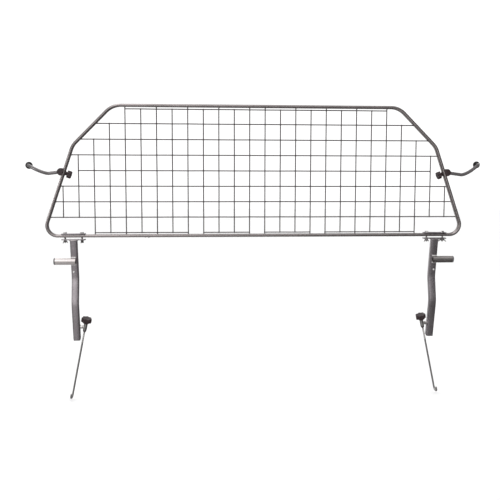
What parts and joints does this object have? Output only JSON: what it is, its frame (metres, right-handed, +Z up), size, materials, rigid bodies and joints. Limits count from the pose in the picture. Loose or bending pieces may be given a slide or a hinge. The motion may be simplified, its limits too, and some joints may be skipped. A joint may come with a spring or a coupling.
{
  "type": "car dog guard",
  "caption": "Welded wire mesh guard in a bent tube frame, with plated legs, stub tubes, adjustable hooks and swivelling rubber-tipped side arms.",
  "frame": {"origin": "middle of the underside of the bottom rail, in the plane of the wire mesh", "axes": "+X to the right and +Y away as seen from the side that is pictured, +Z up, with the guard upright as it stands in a car"},
  "size_m": [1.5237, 0.0992, 0.9806],
  "materials": {
    "frame_paint": "satin grey powder coat on steel tube",
    "wire_paint": "satin grey powder coat on welded wire",
    "leg_paint": "satin grey powder coat on steel tube and plate",
    "arm_steel": "bright drawn steel rod",
    "zinc_steel": "zinc plated steel",
    "brass_insert": "turned brass",
    "black_plastic": "moulded black plastic",
    "grey_plastic": "moulded grey plastic",
    "black_rubber": "moulded black rubber"
  },
  "bodies": {
    "frame": {"frame_tube": "frame_paint", "mesh_panel": "wire_paint", "left_strap_plate": "leg_paint", "left_clamp_bolt_inner": "zinc_steel", "left_clamp_bolt_outer": "zinc_steel", "left_arm_block": "black_plastic", "left_arm_nut": "zinc_steel", "right_strap_plate": "leg_paint", "right_clamp_bolt_inner": "zinc_steel", "right_clamp_bolt_outer": "zinc_steel", "right_arm_block": "black_plastic", "right_arm_nut": "zinc_steel"},
    "left_leg": {"left_leg_plate": "leg_paint", "left_leg_tube": "leg_paint", "left_leg_end_plug": "black_plastic", "left_stub_tube": "leg_paint", "left_stub_cap": "grey_plastic", "left_pivot_boss": "zinc_steel"},
    "left_inner_wing_nut": {"left_wing_nut_inner": "zinc_steel"},
    "left_outer_wing_nut": {"left_wing_nut_outer": "zinc_steel"},
    "left_foot": {"left_foot_sleeve": "zinc_steel", "left_pivot_clip": "zinc_steel", "left_rod_bush": "black_plastic"},
    "left_adjuster": {"left_foot_knob": "black_plastic", "left_foot_knob_insert": "brass_insert"},
    "left_hook": {"left_hook_rod": "zinc_steel"},
    "left_arm": {"left_arm_rod": "arm_steel", "left_arm_pad": "black_rubber"},
    "left_clamp_washer": {"left_arm_washer": "black_plastic"},
    "left_clamp_knob": {"left_arm_knob": "black_plastic", "left_arm_stud": "zinc_steel"},
    "right_leg": {"right_leg_plate": "leg_paint", "right_leg_tube": "leg_paint", "right_leg_end_plug": "black_plastic", "right_stub_tube": "leg_paint", "right_stub_cap": "grey_plastic", "right_pivot_boss": "zinc_steel"},
    "right_inner_wing_nut": {"right_wing_nut_inner": "zinc_steel"},
    "right_outer_wing_nut": {"right_wing_nut_outer": "zinc_steel"},
    "right_foot": {"right_foot_sleeve": "zinc_steel", "right_pivot_clip": "zinc_steel", "right_rod_bush": "black_plastic"},
    "right_adjuster": {"right_foot_knob": "black_plastic", "right_foot_knob_insert": "brass_insert"},
    "right_hook": {"right_hook_rod": "zinc_steel"},
    "right_arm": {"right_arm_rod": "arm_steel", "right_arm_pad": "black_rubber"},
    "right_clamp_washer": {"right_arm_washer": "black_plastic"},
    "right_clamp_knob": {"right_arm_knob": "black_plastic", "right_arm_stud": "zinc_steel"}
  },
  "joints": [
    {"name": "left_leg_lift", "type": "slide", "parent": "frame", "child": "left_leg", "axis": [0, 0, 1], "range_m": [0, 0.0052]},
    {"name": "left_inner_wing_nut_turn", "type": "hinge", "parent": "left_leg", "child": "left_inner_wing_nut", "pos_m": [-0.5676, 0, -0.0085], "axis": [0, 0, 1], "range_deg": [0, 1873]},
    {"name": "left_outer_wing_nut_turn", "type": "hinge", "parent": "left_leg", "child": "left_outer_wing_nut", "pos_m": [-0.6216, 0, -0.0085], "axis": [0, 0, 1], "range_deg": [0, 1873]},
    {"name": "left_foot_swing", "type": "hinge", "parent": "left_leg", "child": "left_foot", "pos_m": [-0.5662, 0.0237, -0.298], "axis": [1, 0, 0], "range_deg": [-40, 50]},
    {"name": "left_foot_knob_turn", "type": "hinge", "parent": "left_foot", "child": "left_adjuster", "pos_m": [-0.5662, 0.0237, -0.298], "axis": [-0.2113, 0.2032, -0.9561], "range_deg": [-1441, 3601]},
    {"name": "left_hook_slide", "type": "slide", "parent": "left_foot", "child": "left_hook", "axis": [0.2113, -0.2032, 0.9561], "range_m": [-0.004, 0.01]},
    {"name": "left_arm_swivel", "type": "hinge", "parent": "frame", "child": "left_arm", "pos_m": [-0.62979, 0, 0.21077], "axis": [-0.9917, 0, -0.1288], "continuous": true},
    {"name": "left_clamp_washer_slide", "type": "slide", "parent": "frame", "child": "left_clamp_washer", "axis": [0.9453, 0, -0.3262], "range_m": [0, 0.0025]},
    {"name": "left_clamp_knob_turn", "type": "hinge", "parent": "left_clamp_washer", "child": "left_clamp_knob", "pos_m": [-0.62176, 0, 0.208], "axis": [0.9453, 0, -0.3262], "range_deg": [0, 901]},
    {"name": "right_leg_lift", "type": "slide", "parent": "frame", "child": "right_leg", "axis": [0, 0, 1], "range_m": [0, 0.0052]},
    {"name": "right_inner_wing_nut_turn", "type": "hinge", "parent": "right_leg", "child": "right_inner_wing_nut", "pos_m": [0.5676, 0, -0.0085], "axis": [0, 0, 1], "range_deg": [0, 1873]},
    {"name": "right_outer_wing_nut_turn", "type": "hinge", "parent": "right_leg", "child": "right_outer_wing_nut", "pos_m": [0.6216, 0, -0.0085], "axis": [0, 0, 1], "range_deg": [0, 1873]},
    {"name": "right_foot_swing", "type": "hinge", "parent": "right_leg", "child": "right_foot", "pos_m": [0.5662, 0.0237, -0.298], "axis": [1, 0, 0], "range_deg": [-40, 50]},
    {"name": "right_foot_knob_turn", "type": "hinge", "parent": "right_foot", "child": "right_adjuster", "pos_m": [0.5662, 0.0237, -0.298], "axis": [0.2554, 0.201, -0.9457], "range_deg": [-1441, 3601]},
    {"name": "right_hook_slide", "type": "slide", "parent": "right_foot", "child": "right_hook", "axis": [-0.2554, -0.201, 0.9457], "range_m": [-0.004, 0.01]},
    {"name": "right_arm_swivel", "type": "hinge", "parent": "frame", "child": "right_arm", "pos_m": [0.62979, 0, 0.21077], "axis": [0.9917, 0, -0.1288], "continuous": true},
    {"name": "right_clamp_washer_slide", "type": "slide", "parent": "frame", "child": "right_clamp_washer", "axis": [-0.9453, 0, -0.3262], "range_m": [0, 0.0025]},
    {"name": "right_clamp_knob_turn", "type": "hinge", "parent": "right_clamp_washer", "child": "right_clamp_knob", "pos_m": [0.62176, 0, 0.208], "axis": [-0.9453, 0, -0.3262], "range_deg": [0, 901]}
  ],
  "couplings": [
    {"joint": "left_inner_wing_nut_turn", "follows": "left_leg_lift", "rad_per_m": 6283.2},
    {"joint": "left_outer_wing_nut_turn", "follows": "left_leg_lift", "rad_per_m": 6283.2},
    {"joint": "left_foot_knob_turn", "follows": "left_hook_slide", "rad_per_m": 6283.2},
    {"joint": "left_clamp_knob_turn", "follows": "left_clamp_washer_slide", "rad_per_m": 6283.2},
    {"joint": "right_inner_wing_nut_turn", "follows": "right_leg_lift", "rad_per_m": 6283.2},
    {"joint": "right_outer_wing_nut_turn", "follows": "right_leg_lift", "rad_per_m": 6283.2},
    {"joint": "right_foot_knob_turn", "follows": "right_hook_slide", "rad_per_m": 6283.2},
    {"joint": "right_clamp_knob_turn", "follows": "right_clamp_washer_slide", "rad_per_m": 6283.2}
  ]
}
